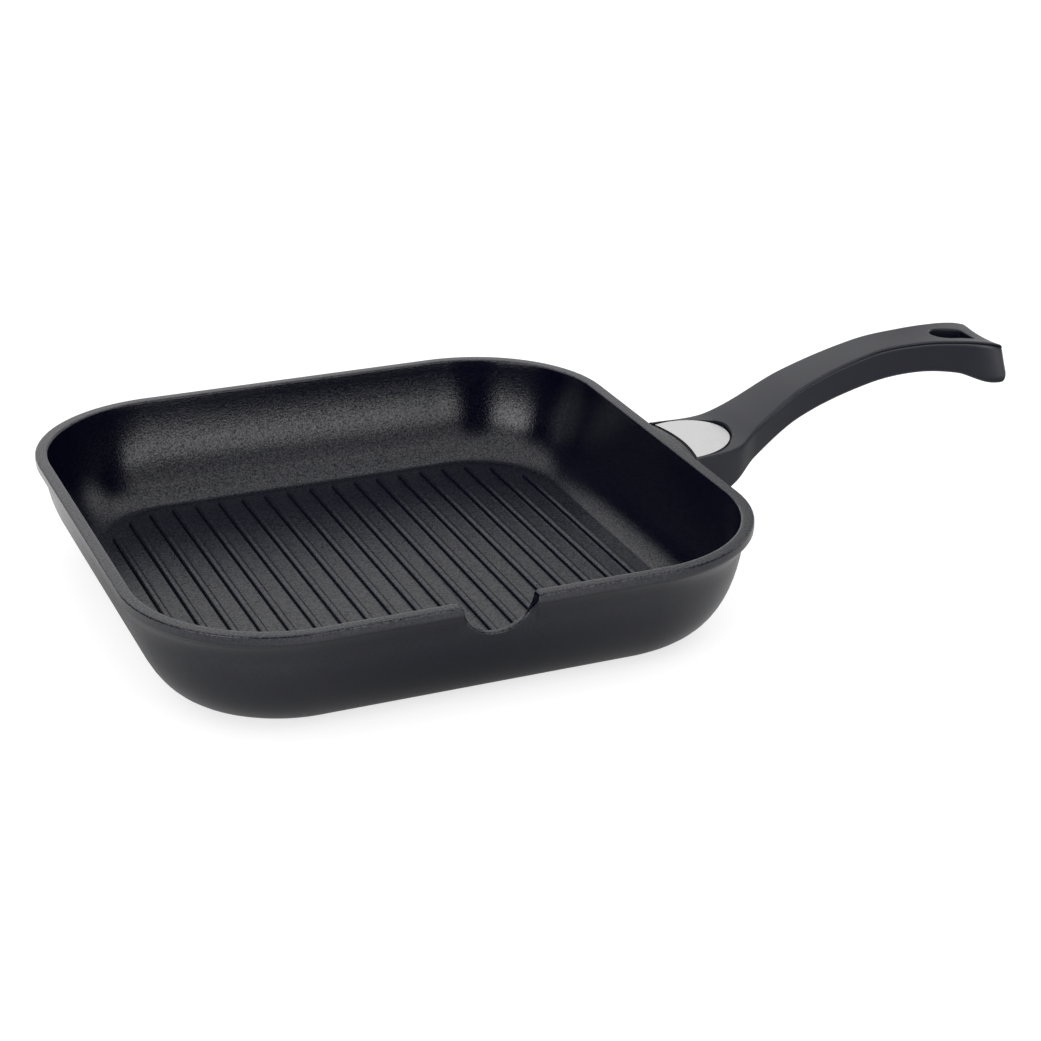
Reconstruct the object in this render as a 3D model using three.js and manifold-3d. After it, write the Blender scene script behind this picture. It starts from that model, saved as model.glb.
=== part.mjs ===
// Square ribbed grill pan: a cast body, a moulded handle, a blank plate and the handle's fastening.
// Millimetres, +Z up. The origin is the middle of the flat base. The handle runs along +X and the
// pour notch faces -Y.
import * as THREE from 'three';
import { mergeVertices } from 'three/addons/utils/BufferGeometryUtils.js';
import Module from 'manifold-3d';

const wasm = await Module();
wasm.setup();

// Gaps between pieces
const touchGap = 0.3;
const socketGap = 0.5;
const plateGap = 1.1;

// Cast body: sizes across the flats, corner radii and heights above the base
const rimSize = 280;
const rimCorner = 66.5;
const panHeight = 51.3;
const baseSize = 216;
const baseCorner = 44.6;
const wallRoundness = 0.84;
const cornerFlare = 2.07;
const beadHeight = 6;
const beadOverhang = 2.9;
const beadFaceDrop = 3.5;
const beadTaper = 0.2;
const rimEdgeDrop = 1.3;
const rimEdgeInset = 1.3;
const rimLand = 4.7;
const rimBevel = 0.8;
const floorThickness = 4;
const floorSpread = 3;
const floorCorner = 44;
const floorCrease = 0.7;
const innerCorner = 62;

// Ribs on the floor
const ribPitch = 11.6;
const ribWidth = 4;
const ribTopWidth = 3.4;
const ribHeight = 1.9;
const ribMargin = 7.2;

// Pour notch in the middle of the front wall
const notchRadius = 16.3;
const notchDepth = 15.9;
const notchShoulder = 2.2;

// Lug for the handle: a pad with a round front on the wall, and a tongue that enters the handle
const padReach = 7.5;
const padRadius = 90;
const padWidth = 47;
const padDrop = 3.8;
const padHeight = 30;
const padTaper = 7;
const tongueWidth = 24;
const tongueReach = 18.3;
const tongueDrop = 8.5;
const tongueThickness = 8.5;
const tongueCorner = 4;

// Handle stations from the pan to the tip. A reach is measured from the rim, the heights of the top
// face's edges and of the underside from the rim's top, and a crown is the rise of the top face's middle.
const rootBack = 3.5;
const rootCover = 2.3;
const rootTop = -3.6;
const rootUnder = -35;
const rootCrown = 0.4;
const shoulderReach = 28;
const shoulderCover = -1;
const shoulderTop = -2;
const shoulderUnder = -21.3;
const shoulderCrown = 0.3;
const neckReach = 40;
const neckHalf = 17.4;
const neckTop = 4.5;
const neckUnder = -12.6;
const neckCrown = 0.5;
const riseReach = 66;
const riseHalf = 12.8;
const riseTop = 19;
const riseUnder = 2.3;
const riseCrown = 0.2;
const waistReach = 104;
const waistHalf = 10.4;
const waistTop = 30.4;
const waistUnder = 13.2;
const waistCrown = 0;
const crestReach = 130;
const crestHalf = 11.3;
const crestTop = 32.3;
const crestUnder = 15.9;
const crestCrown = -0.2;
const eyeReach = 152;
const eyeHalf = 14.5;
const eyeTop = 31.2;
const eyeUnder = 13.6;
const eyeCrown = -1;
const stopReach = 165;
const stopHalf = 16.5;
const stopTop = 29.3;
const stopUnder = 8.4;
const stopCrown = -1.3;
const endReach = 173.5;
const endHalf = 17;
const endTop = 26.9;
const endUnder = 8.1;
const endCrown = -1.2;
const tipLean = 2.2;
const tipRound = 2.8;
const tipTopRound = 2;
const tipUnderRound = 4;
const tipFlare = 4;
const edgeRound = 0.8;
const grooveDrop = 1.8;
const grooveWidth = 1.2;
const grooveDepth = 0.7;
const sideDraft = 1.5;
const underRound = 2.5;

// Hanging slot near the tip
const slotWidth = 14.4;
const slotLength = 20.8;
const slotToTip = 10.2;
const slotCorner = 2;

// Blank plate in the top of the handle's root
const plateInset = 1;
const plateStraight = 3.2;
const plateThickness = 1.6;
const plateDrop = 3.9;
const plateTilt = 5;
const pinDiameter = 2.4;
const pinLength = 4;
const pinOffset = 4;
const pinReach = 8;

// Handle fastening: M5 screw, washers and insert
const screwReach = 8.5;
const screwDiameter = 5;
const screwTipGap = 1.6;
const headDiameter = 9.5;
const headHeight = 3.3;
const recessWidth = 1.1;
const recessLength = 5;
const recessDepth = 1.8;
const seatThickness = 3.5;
const flatWasherDiameter = 10;
const flatWasherThickness = 1;
const springWasherDiameter = 9;
const springWasherThickness = 1.2;
const springSplit = 1;
const insertWall = 1.2;
const boreClearance = 0.6;

// Numbers of steps round curves
const cornerSteps = 10;
const wallSteps = 7;
const edgeSteps = 4;
const roundSteps = 32;
const handleSteps = 30;
const tipSteps = 4;

// Places that several pieces share
const rimHalf = rimSize / 2;
const rimTop = panHeight;
const outerFoot = { half: baseSize / 2, corner: baseCorner, z: 0 };
const outerNeck = { half: rimHalf - beadOverhang, corner: rimCorner, z: rimTop - beadHeight };
const innerFoot = { half: baseSize / 2 + floorSpread, corner: floorCorner, z: floorThickness - floorCrease };
const innerHead = { half: rimHalf - rimLand - rimBevel, corner: innerCorner, z: rimTop - rimBevel };
const floorTurn = Math.acos(1 - floorCrease / (innerHead.z - innerFoot.z));
const floorEdge = wallSize(floorTurn, innerFoot, innerHead);
const ribFieldHalf = floorEdge.half - ribMargin;
const ribFieldCorner = floorEdge.corner - ribMargin;
const ribsPerSide = Math.floor((ribFieldHalf - ribWidth / 2) / ribPitch);
const padFront = rimHalf + padReach;
const padCentre = padFront - padRadius;
const screwX = padFront + screwReach;
const tongueTop = rimTop - tongueDrop;
const tongueBottom = tongueTop - tongueThickness;
const seatHeight = tongueBottom - socketGap - seatThickness;
const boreRadius = (screwDiameter + boreClearance) / 2;
const insertRadius = boreRadius + insertWall;
const handleEnd = rimHalf + endReach;
const plateHalf = padWidth / 2 - plateInset;
const pinSide = tongueWidth / 2 + pinOffset;
const plateCorner = padCentre + Math.sqrt((padRadius + plateGap) ** 2 - plateHalf ** 2);

// Solids

function solidOf(geometry) {
  const bare = geometry.clone();
  bare.deleteAttribute('normal');
  bare.deleteAttribute('uv');
  const merged = mergeVertices(bare, 1e-4);
  const mesh = new wasm.Mesh({
    numProp: 3,
    vertProperties: new Float32Array(merged.attributes.position.array),
    triVerts: new Uint32Array(merged.index.array),
  });
  return new wasm.Manifold(mesh);
}

function geometryOf(solid) {
  const mesh = solid.getMesh();
  const geometry = new THREE.BufferGeometry();
  geometry.setAttribute('position', new THREE.BufferAttribute(new Float32Array(mesh.vertProperties), 3));
  geometry.setIndex(new THREE.BufferAttribute(new Uint32Array(mesh.triVerts), 1));
  geometry.computeVertexNormals();
  return geometry;
}

// A closed solid through rings of equal count, each end shut by a fan round its middle.
function loft(rings) {
  const count = rings[0].length;
  const points = rings.flat();
  const faces = [];
  for (let level = 0; level < rings.length - 1; level += 1) {
    for (let index = 0; index < count; index += 1) {
      const here = level * count + index;
      const beside = level * count + (index + 1) % count;
      faces.push(here, beside, beside + count, here, beside + count, here + count);
    }
  }
  const last = (rings.length - 1) * count;
  const firstMiddle = points.length;
  const lastMiddle = firstMiddle + 1;
  points.push(middleOf(rings[0]), middleOf(rings.at(-1)));
  for (let index = 0; index < count; index += 1) {
    const next = (index + 1) % count;
    faces.push(firstMiddle, next, index, lastMiddle, last + index, last + next);
  }
  const geometry = new THREE.BufferGeometry().setFromPoints(points);
  geometry.setIndex(faces);
  return solidOf(geometry);
}

function middleOf(ring) {
  const sum = ring.reduce((total, point) => total.add(point), new THREE.Vector3());
  return sum.divideScalar(ring.length);
}

// A rounded square in a level plane, counter-clockwise from above.
function squareRing(half, corner, z) {
  const ring = [];
  const flat = half - corner;
  for (let quarter = 0; quarter < 4; quarter += 1) {
    const x = quarter === 0 || quarter === 3 ? flat : -flat;
    const y = quarter < 2 ? flat : -flat;
    for (let step = 0; step <= cornerSteps; step += 1) {
      const angle = (quarter + step / cornerSteps) * Math.PI / 2;
      ring.push(new THREE.Vector3(x + corner * Math.cos(angle), y + corner * Math.sin(angle), z));
    }
  }
  return ring;
}

// A flat outline raised along +Z between two heights.
function raised(shape, bottom, top) {
  const geometry = new THREE.ExtrudeGeometry(shape, {
    depth: top - bottom,
    bevelEnabled: false,
    curveSegments: roundSteps,
  });
  return geometry.translate(0, 0, bottom);
}

// An outline in the XZ plane carried along Y between two places.
function carried(shape, from, to) {
  const geometry = raised(shape, -to, -from);
  return geometry.rotateX(Math.PI / 2);
}

function cylinder(radius, bottom, top, x, y) {
  const geometry = new THREE.CylinderGeometry(radius, radius, top - bottom, roundSteps);
  geometry.rotateX(Math.PI / 2);
  return geometry.translate(x, y, (top + bottom) / 2);
}

// A plain ring standing on its lower face.
function ringGeometry(inner, outer, bottom, top, x) {
  const profile = [
    new THREE.Vector2(inner, bottom),
    new THREE.Vector2(outer, bottom),
    new THREE.Vector2(outer, top),
    new THREE.Vector2(inner, top),
    new THREE.Vector2(inner, bottom),
  ];
  return new THREE.LatheGeometry(profile, roundSteps).rotateX(Math.PI / 2).translate(x, 0, 0);
}

// Cast body

// The size of a wall that leaves the flat in a quarter ellipse, mixed with a straight lean. The corner
// opens late, near the head. Each end of the wall is { half, corner, z }, and turn runs from 0 at the
// foot to a right angle at the head.
function wallSize(turn, foot, head) {
  const rise = 1 - Math.cos(turn);
  const spread = wallRoundness * Math.sin(turn) + (1 - wallRoundness) * rise;
  const half = THREE.MathUtils.lerp(foot.half, head.half, spread);
  const corner = THREE.MathUtils.lerp(foot.corner, head.corner, spread ** cornerFlare);
  return { half, corner, z: THREE.MathUtils.lerp(foot.z, head.z, rise) };
}

function wallRings(foot, head, start) {
  const rings = [];
  for (let step = 0; step <= wallSteps; step += 1) {
    const turn = THREE.MathUtils.lerp(start, Math.PI / 2, step / wallSteps);
    const size = wallSize(turn, foot, head);
    rings.push(squareRing(size.half, size.corner, size.z));
  }
  return rings;
}

// The wall runs up to the bead, whose face rounds over into the rim by a quarter ellipse.
function outerShell() {
  const rings = wallRings(outerFoot, outerNeck, 0);
  rings.push(squareRing(rimHalf - beadTaper, rimCorner, rimTop - beadFaceDrop));
  for (let step = 0; step <= edgeSteps; step += 1) {
    const turn = step / edgeSteps * Math.PI / 2;
    const inset = rimEdgeInset * (1 - Math.cos(turn));
    const drop = rimEdgeDrop * (1 - Math.sin(turn));
    rings.push(squareRing(rimHalf - inset, rimCorner - inset, rimTop - drop));
  }
  return loft(rings);
}

// The inner wall meets the floor in a shallow crease, because its ellipse would end just below the floor.
function cavity() {
  const mouth = rimHalf - rimLand;
  const rings = wallRings(innerFoot, innerHead, floorTurn);
  rings.push(squareRing(mouth, innerCorner, rimTop));
  rings.push(squareRing(mouth, innerCorner, rimTop + rimBevel));
  return loft(rings);
}

// How far a rib at x runs from the middle before it meets the rounded edge of the ribbed field.
function ribReach(x) {
  const past = Math.max(0, Math.abs(x) - (ribFieldHalf - ribFieldCorner));
  const bend = ribFieldCorner - Math.sqrt(Math.max(0, ribFieldCorner ** 2 - past ** 2));
  return ribFieldHalf - bend;
}

function rib(x) {
  const sunk = floorThickness / 2;
  const section = new THREE.Shape();
  section.moveTo(x - ribWidth / 2, sunk);
  section.lineTo(x + ribWidth / 2, sunk);
  section.lineTo(x + ribWidth / 2, floorThickness);
  section.lineTo(x + ribTopWidth / 2, floorThickness + ribHeight);
  section.lineTo(x - ribTopWidth / 2, floorThickness + ribHeight);
  section.lineTo(x - ribWidth / 2, floorThickness);
  return solidOf(carried(section, -ribReach(x), ribReach(x)));
}

// The notch is one arc that meets the rim through two round shoulders.
function notchCutter() {
  const centre = rimTop - notchDepth + notchRadius;
  const shoulderZ = rimTop - notchShoulder;
  const span = notchRadius + notchShoulder;
  const shoulderX = Math.sqrt(span ** 2 - (centre - shoulderZ) ** 2);
  const slope = Math.atan2(shoulderZ - centre, shoulderX);
  const above = rimTop + notchRadius;
  const outline = new THREE.Shape();
  outline.moveTo(-shoulderX, above);
  outline.lineTo(-shoulderX, rimTop);
  outline.absarc(-shoulderX, shoulderZ, notchShoulder, Math.PI / 2, -slope, true);
  outline.absarc(0, centre, notchRadius, Math.PI - slope, Math.PI * 2 + slope, false);
  outline.absarc(shoulderX, shoulderZ, notchShoulder, Math.PI + slope, Math.PI / 2, true);
  outline.lineTo(shoulderX, above);
  return solidOf(carried(outline, -rimHalf - beadHeight, -floorEdge.half));
}

// The pad's plan is bounded by an arc; its side view tapers below into the wall.
function padSolid() {
  const half = padWidth / 2;
  const turn = Math.asin(half / padRadius);
  const plan = new THREE.Shape();
  plan.moveTo(baseSize / 2, -half);
  plan.absarc(padCentre, 0, padRadius, -turn, turn, false);
  plan.lineTo(baseSize / 2, half);
  const top = rimTop - padDrop;
  const side = new THREE.Shape();
  side.moveTo(baseSize / 2, top);
  side.lineTo(baseSize / 2, top - padHeight - padTaper);
  side.lineTo(padFront + 1, top - padHeight);
  side.lineTo(padFront + 1, top);
  return solidOf(raised(plan, 0, rimTop)).intersect(solidOf(carried(side, -padWidth, padWidth)));
}

function tonguePlan(grow) {
  const half = tongueWidth / 2 + grow;
  const tip = padFront + tongueReach + grow;
  const corner = tongueCorner + grow;
  const plan = new THREE.Shape();
  plan.moveTo(padFront - padReach, -half);
  plan.lineTo(tip - corner, -half);
  plan.absarc(tip - corner, -half + corner, corner, -Math.PI / 2, 0, false);
  plan.absarc(tip - corner, half - corner, corner, 0, Math.PI / 2, false);
  plan.lineTo(padFront - padReach, half);
  return plan;
}

function panBody() {
  let body = outerShell();
  body = body.add(padSolid());
  body = body.add(solidOf(raised(tonguePlan(0), tongueBottom, tongueTop)));
  body = body.subtract(cavity());
  for (let index = -ribsPerSide; index <= ribsPerSide; index += 1) {
    body = body.add(rib(index * ribPitch));
  }
  body = body.subtract(notchCutter());
  const hole = cylinder(insertRadius + touchGap, tongueBottom - 1, tongueTop + 1, screwX, 0);
  return body.subtract(solidOf(hole));
}

// Handle

function station(reach, half, top, under, crown) {
  return { reach, half, top, under, crown };
}

const handleStations = [
  station(padReach - rootBack, padWidth / 2 + rootCover, rootTop, rootUnder, rootCrown),
  station(shoulderReach, padWidth / 2 + shoulderCover, shoulderTop, shoulderUnder, shoulderCrown),
  station(neckReach, neckHalf, neckTop, neckUnder, neckCrown),
  station(riseReach, riseHalf, riseTop, riseUnder, riseCrown),
  station(waistReach, waistHalf, waistTop, waistUnder, waistCrown),
  station(crestReach, crestHalf, crestTop, crestUnder, crestCrown),
  station(eyeReach, eyeHalf, eyeTop, eyeUnder, eyeCrown),
  station(stopReach, stopHalf, stopTop, stopUnder, stopCrown),
  station(endReach, endHalf, endTop, endUnder, endCrown),
];

// One measure of the handle at a reach, as a smooth curve through the stations.
function along(measure, reach) {
  const last = handleStations.length - 1;
  let index = handleStations.findIndex((place) => place.reach > reach) - 1;
  if (index < 0) {
    index = reach < handleStations[0].reach ? 0 : last - 1;
  }
  const slope = (place) => {
    const before = handleStations[Math.max(place - 1, 0)];
    const after = handleStations[Math.min(place + 1, last)];
    return (after[measure] - before[measure]) / (after.reach - before.reach);
  };
  const start = handleStations[index];
  const stop = handleStations[index + 1];
  const span = stop.reach - start.reach;
  const t = (reach - start.reach) / span;
  const ends = start[measure] * (1 + 2 * t) * (1 - t) ** 2 + stop[measure] * t * t * (3 - 2 * t);
  return ends + span * t * (1 - t) * (slope(index) * (1 - t) - slope(index + 1) * t);
}

// Section across the handle, with its side groove. The tip rounds in by a quarter circle, its sides flare
// downward, and its end leans so that the finger stop reaches farthest.
function handleSection(x) {
  const reach = x - rimHalf;
  const intoTip = Math.max(0, (x - (handleEnd - tipRound)) / tipRound);
  const drawn = 1 - Math.sqrt(Math.max(0, 1 - intoTip ** 2));
  const half = along('half', reach) - tipRound * drawn;
  const top = rimTop + along('top', reach) - tipTopRound * drawn;
  const under = rimTop + along('under', reach) + tipUnderRound * drawn;
  const crown = along('crown', reach);
  const tip = THREE.MathUtils.smoothstep(reach, eyeReach, endReach);
  const lean = tipLean * tip;
  const low = half - sideDraft + tipFlare * tip;
  const side = [
    [0, top + crown],
    [half / 2, top + crown * 0.75],
    [half - edgeRound, top],
    [half - edgeRound * 0.3, top - edgeRound * 0.3],
    [half, top - edgeRound],
    [half, top - grooveDrop],
    [half - grooveDepth, top - grooveDrop - grooveWidth * 0.3],
    [half - grooveDepth, top - grooveDrop - grooveWidth * 0.7],
    [half, top - grooveDrop - grooveWidth],
    [low, under + underRound],
    [low - underRound * 0.3, under + underRound * 0.3],
    [low - underRound, under],
    [0, under],
  ];
  const back = side.slice(1, -1).reverse().map(([y, z]) => [-y, z]);
  const place = ([y, z]) => new THREE.Vector3(x + lean * (top - z) / (top - under), y, z);
  return [...side, ...back].map(place).reverse();
}

function handleLoft() {
  const rings = [];
  const start = rimHalf + handleStations[0].reach;
  const bend = handleEnd - tipRound;
  for (let step = 0; step <= handleSteps; step += 1) {
    rings.push(handleSection(start + (bend - start) * step / handleSteps));
  }
  for (let step = 1; step <= tipSteps; step += 1) {
    rings.push(handleSection(bend + tipRound * Math.sin(step / tipSteps * Math.PI / 2)));
  }
  return loft(rings);
}

// Round toward the pan, straight toward the tip.
function slotCutter() {
  const half = slotWidth / 2;
  const outer = handleEnd - slotToTip;
  const inner = outer - slotLength + half;
  const plan = new THREE.Shape();
  plan.moveTo(outer - slotCorner, -half);
  plan.absarc(outer - slotCorner, -half + slotCorner, slotCorner, -Math.PI / 2, 0, false);
  plan.absarc(outer - slotCorner, half - slotCorner, slotCorner, 0, Math.PI / 2, false);
  plan.absarc(inner, 0, half, Math.PI / 2, Math.PI * 1.5, false);
  return solidOf(raised(plan, rimTop - panHeight, rimTop + panHeight));
}

// Everything on the pan's side of the pad's front, so the handle ends on the same arc.
function padClearance() {
  return solidOf(cylinder(padRadius + socketGap, -panHeight, rimTop * 2, padCentre, 0));
}

function handle() {
  let body = handleLoft();
  body = body.subtract(padClearance());
  const socket = raised(tonguePlan(socketGap), tongueBottom - socketGap, tongueTop + socketGap);
  body = body.subtract(solidOf(socket));
  body = body.subtract(slotCutter());
  body = body.subtract(solidOf(platePlace(pocketGeometry())));
  pinPlaces().forEach(([x, y]) => {
    const hole = cylinder(pinDiameter / 2 + touchGap, -pinLength - plateThickness - touchGap * 2, 0, x, y);
    body = body.subtract(solidOf(platePlace(hole)));
  });
  body = body.subtract(solidOf(cylinder(boreRadius, 0, tongueBottom, screwX, 0)));
  const counterbore = flatWasherDiameter / 2 + socketGap;
  return body.subtract(solidOf(cylinder(counterbore, 0, seatHeight, screwX, 0)));
}

// Plate: its own frame has x from the plate's two corners toward the tip and z = 0 on its top face.

function platePlace(geometry) {
  const tilt = THREE.MathUtils.degToRad(plateTilt);
  return geometry.rotateY(-tilt).translate(plateCorner, 0, rimTop - plateDrop);
}

function pinPlaces() {
  return [[pinReach, pinSide], [pinReach, -pinSide]];
}

// Straight from the corners, then half a circle toward the tip.
function roundEnd(plan, half) {
  plan.lineTo(plateStraight, -half);
  plan.absarc(plateStraight, 0, half, -Math.PI / 2, Math.PI / 2, false);
}

function pocketGeometry() {
  const half = plateHalf + plateGap;
  const plan = new THREE.Shape();
  plan.moveTo(-half, -half);
  roundEnd(plan, half);
  plan.lineTo(-half, half);
  return raised(plan, -plateThickness - touchGap, plateHalf);
}

function badgePlate() {
  const centre = padCentre - plateCorner;
  const turn = Math.asin(plateHalf / (padRadius + plateGap));
  const plan = new THREE.Shape();
  plan.moveTo(0, -plateHalf);
  roundEnd(plan, plateHalf);
  plan.lineTo(0, plateHalf);
  plan.absarc(centre, 0, padRadius + plateGap, turn, -turn, true);
  let plate = solidOf(platePlace(raised(plan, -plateThickness, 0)));
  pinPlaces().forEach(([x, y]) => {
    const pin = cylinder(pinDiameter / 2, -pinLength - plateThickness, -plateThickness / 2, x, y);
    plate = plate.add(solidOf(platePlace(pin)));
  });
  return plate;
}

// Fastening, stacked downward from the seat in the handle

const flatWasherTop = seatHeight - touchGap;
const springWasherTop = flatWasherTop - flatWasherThickness - touchGap;
const headTop = springWasherTop - springWasherThickness - touchGap;
const screwTip = tongueTop - screwTipGap;

function handleScrew() {
  const profile = [
    new THREE.Vector2(0, headTop - headHeight),
    new THREE.Vector2(headDiameter * 0.36, headTop - headHeight),
    new THREE.Vector2(headDiameter * 0.47, headTop - headHeight * 0.6),
    new THREE.Vector2(headDiameter / 2, headTop),
    new THREE.Vector2(screwDiameter / 2, headTop),
    new THREE.Vector2(screwDiameter / 2, screwTip - screwDiameter * 0.15),
    new THREE.Vector2(screwDiameter * 0.35, screwTip),
    new THREE.Vector2(0, screwTip),
  ];
  const turned = new THREE.LatheGeometry(profile, roundSteps).rotateX(Math.PI / 2);
  let screw = solidOf(turned.translate(screwX, 0, 0));
  [[recessLength, recessWidth], [recessWidth, recessLength]].forEach(([long, wide]) => {
    const slit = new THREE.BoxGeometry(long, wide, recessDepth * 2);
    screw = screw.subtract(solidOf(slit.translate(screwX, 0, headTop - headHeight)));
  });
  return screw;
}

function flatWasher() {
  const bottom = flatWasherTop - flatWasherThickness;
  return solidOf(ringGeometry(boreRadius, flatWasherDiameter / 2, bottom, flatWasherTop, screwX));
}

function springWasher() {
  const bottom = springWasherTop - springWasherThickness;
  const ring = solidOf(ringGeometry(boreRadius, springWasherDiameter / 2, bottom, springWasherTop, screwX));
  const split = new THREE.BoxGeometry(springWasherDiameter, springSplit, springWasherThickness * 3);
  split.translate(screwX + springWasherDiameter / 2, 0, springWasherTop);
  return ring.subtract(solidOf(split));
}

function threadedInsert() {
  const bottom = tongueBottom + touchGap;
  const top = tongueTop - touchGap;
  return solidOf(ringGeometry(boreRadius, insertRadius, bottom, top, screwX));
}

// Assembly

const castCoat = { color: '#45464a', roughness: 0.75, metalness: 0.2 };
const phenolic = { color: '#2f3033', roughness: 0.55, metalness: 0 };
const satinSteel = { color: '#cfd0d0', roughness: 0.35, metalness: 0.9 };
const zincSteel = { color: '#a9abad', roughness: 0.4, metalness: 0.9 };

const pan = new THREE.Group();
const pieces = [
  ['pan_body', panBody, castCoat],
  ['handle', handle, phenolic],
  ['badge_plate', badgePlate, satinSteel],
  ['threaded_insert', threadedInsert, zincSteel],
  ['flat_washer', flatWasher, zincSteel],
  ['spring_washer', springWasher, zincSteel],
  ['handle_screw', handleScrew, zincSteel],
];
for (const [name, make, finish] of pieces) {
  const mesh = new THREE.Mesh(geometryOf(make()), new THREE.MeshStandardMaterial(finish));
  mesh.name = name;
  pan.add(mesh);
}

export default pan;
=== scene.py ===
"""Square ribbed grill pan: cast body, moulded handle, blank plate and the handle's fastening.

Metres in the scene, millimetres in the sizes below. The handle runs along +X, the pour notch faces -Y.
"""
import math

import bpy
import numpy as np
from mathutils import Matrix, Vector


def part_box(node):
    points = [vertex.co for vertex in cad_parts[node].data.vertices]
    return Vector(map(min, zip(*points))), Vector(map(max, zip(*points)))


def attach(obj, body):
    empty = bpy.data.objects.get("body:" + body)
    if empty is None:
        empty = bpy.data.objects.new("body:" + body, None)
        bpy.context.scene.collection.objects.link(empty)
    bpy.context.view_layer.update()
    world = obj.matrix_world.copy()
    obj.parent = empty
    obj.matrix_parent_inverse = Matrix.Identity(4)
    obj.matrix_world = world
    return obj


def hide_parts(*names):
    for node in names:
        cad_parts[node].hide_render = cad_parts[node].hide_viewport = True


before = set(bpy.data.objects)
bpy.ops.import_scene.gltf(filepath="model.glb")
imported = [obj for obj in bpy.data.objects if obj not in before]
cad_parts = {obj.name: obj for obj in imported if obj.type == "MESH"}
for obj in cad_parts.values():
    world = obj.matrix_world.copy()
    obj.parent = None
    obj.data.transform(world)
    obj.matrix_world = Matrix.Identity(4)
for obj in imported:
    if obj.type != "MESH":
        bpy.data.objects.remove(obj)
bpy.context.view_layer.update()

# Cast body
# One aluminium die casting, sprayed inside and out with a dark sandy non-stick coat and baked. The tray,
# its bead, the ribs and the lug for the handle are one metal, so they are one closed surface here.
MM = 0.001
body_low, body_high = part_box("pan_body")
rim_half = -body_low.x / MM
rim_top = body_high.z / MM
rim_corner = 66.5
base_half = 108.0
base_corner = 44.6
neck_drop = 6.0
bead_overhang = 2.9
bead_face_drop = 3.5
bead_foot_drop = 9.0
rim_edge = 0.75
rim_land = 4.7
inner_edge = 0.8
inner_corner = 62.0
inner_foot_half = base_half + 3.0
inner_foot_corner = 44.0
floor_z = 4.0
floor_crease = 0.7
wall_roundness = 0.84
corner_flare = 2.07

rib_pitch = 11.6
ribs_per_side = 9
rib_foot_half = 2.0
rib_top_half = 1.7
rib_height = 1.9
rib_edge = 1.6
rib_crease = 0.3
rib_margin = 7.2
rib_row_spare = 4.0
floor_border = 1.6

notch_radius = 16.3
notch_depth = 15.9
notch_shoulder = 2.2
notch_least_round = 0.4
notch_reach = 36.0
notch_fade_height = 6.0
notch_fine_from, notch_fine_to = 17.6, 21.4

outer_foot = (base_half, base_corner, 0.0)
outer_neck = (rim_half - bead_overhang, rim_corner, rim_top - neck_drop)
inner_foot = (inner_foot_half, inner_foot_corner, floor_z - floor_crease)
inner_head = (rim_half - rim_land - inner_edge, inner_corner, rim_top - inner_edge)


def ease(value, low, high):
    """Smoothstep: 0 below low, 1 above high and a cubic ease between them."""
    share = np.clip((value - low) / (high - low), 0, 1)
    return share * share * (3 - 2 * share)


def wall_at(z, foot, head):
    """Half width and corner radius of a wall at height z, between a foot and a head (half, corner, z).

    The wall leaves the flat in a quarter ellipse mixed with a straight lean, and its corner opens late.
    """
    rise = np.clip((z - foot[2]) / (head[2] - foot[2]), 0, 1)
    spread = wall_roundness * np.sin(np.arccos(1 - rise)) + (1 - wall_roundness) * rise
    half = foot[0] + (head[0] - foot[0]) * spread
    corner = foot[1] + (head[1] - foot[1]) * spread**corner_flare
    return half, corner


floor_half, floor_corner = wall_at(floor_z, inner_foot, inner_head)
rib_field_half = floor_half - rib_margin
rib_field_corner = floor_corner - rib_margin


def outer_wall(z):
    """The outer wall at height z: the wall up to the neck, then the bead standing out of it by an ease."""
    half, corner = wall_at(z, outer_foot, outer_neck)
    return half + bead_overhang * ease(z, rim_top - bead_foot_drop, rim_top - bead_face_drop), corner


def rib_section(steps=6):
    """Distances from a rib's middle and heights there: half a trapezoid with a round top edge and foot."""
    lean = math.atan2(rib_height, rib_foot_half - rib_top_half)
    turn = np.linspace(0, lean, steps)
    top = rib_top_half - rib_edge * (math.tan(lean / 2) - np.sin(turn))
    top_height = rib_height - rib_edge + rib_edge * np.cos(turn)
    foot = rib_foot_half + rib_crease * (math.tan(lean / 2) - np.sin(turn[::-1]))
    foot_height = rib_crease - rib_crease * np.cos(turn[::-1])
    return np.concatenate([[0], top, foot]), np.concatenate([[rib_height], top_height, foot_height])


def rounded_reach(x, half, corner):
    """How far a rounded square of that half width and corner reaches along y at x."""
    past = np.clip(np.abs(x) - (half - corner), 0, corner)
    return half - corner + np.sqrt(corner**2 - past**2)


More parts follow.
